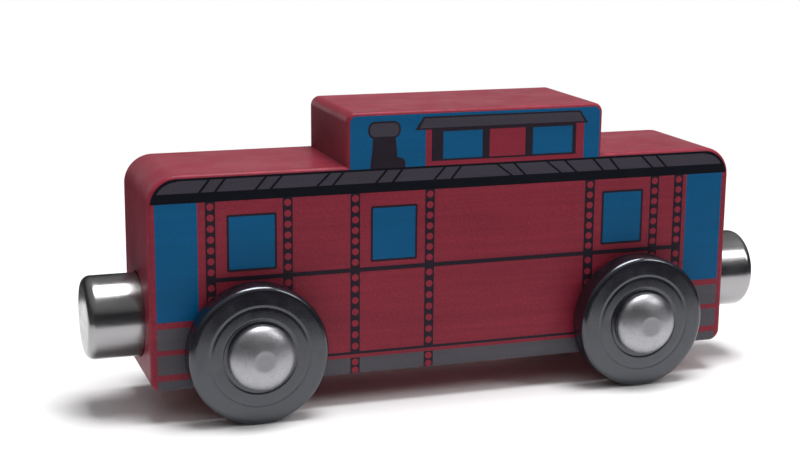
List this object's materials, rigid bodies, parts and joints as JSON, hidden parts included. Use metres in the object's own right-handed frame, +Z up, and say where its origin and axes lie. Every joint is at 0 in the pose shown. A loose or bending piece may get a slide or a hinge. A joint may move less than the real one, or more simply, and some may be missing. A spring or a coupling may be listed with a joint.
{
  "type": "toy wooden caboose",
  "caption": "Small wooden toy caboose with a raised cupola, printed sides, free-rolling plastic wheels under domed metal caps and a round magnetic coupler at each end.",
  "frame": {"origin": "on the ground under the middle of the car, bottom centre of the bounding box", "axes": "+X along the car towards end B, the end nearer the cupola; +Y across it, away from the side that the picture shows; +Z up"},
  "size_m": [0.105, 0.0334, 0.0429],
  "materials": {
    "red_painted_wood": "satin red paint over solid wood",
    "black_plastic": "moulded black plastic, satin",
    "zinc_plate": "dull zinc-plated pressed steel",
    "bright_steel": "drawn steel",
    "nickel_plate": "bright nickel plate"
  },
  "bodies": {
    "body": {"body_block": "red_painted_wood", "magnet_a": "nickel_plate", "magnet_b": "nickel_plate"},
    "wheelset_a": {"axle_a": "bright_steel", "wheel_a_front": "black_plastic", "wheel_a_rear": "black_plastic", "cap_a_front": "zinc_plate", "cap_a_rear": "zinc_plate"},
    "wheelset_b": {"axle_b": "bright_steel", "wheel_b_front": "black_plastic", "wheel_b_rear": "black_plastic", "cap_b_front": "zinc_plate", "cap_b_rear": "zinc_plate"}
  },
  "joints": [
    {"name": "roll_a", "type": "hinge", "parent": "body", "child": "wheelset_a", "pos_m": [-0.03015, 0, 0.01], "axis": [0, 1, 0], "continuous": true},
    {"name": "roll_b", "type": "hinge", "parent": "body", "child": "wheelset_b", "pos_m": [0.02895, 0, 0.01], "axis": [0, 1, 0], "continuous": true}
  ]
}
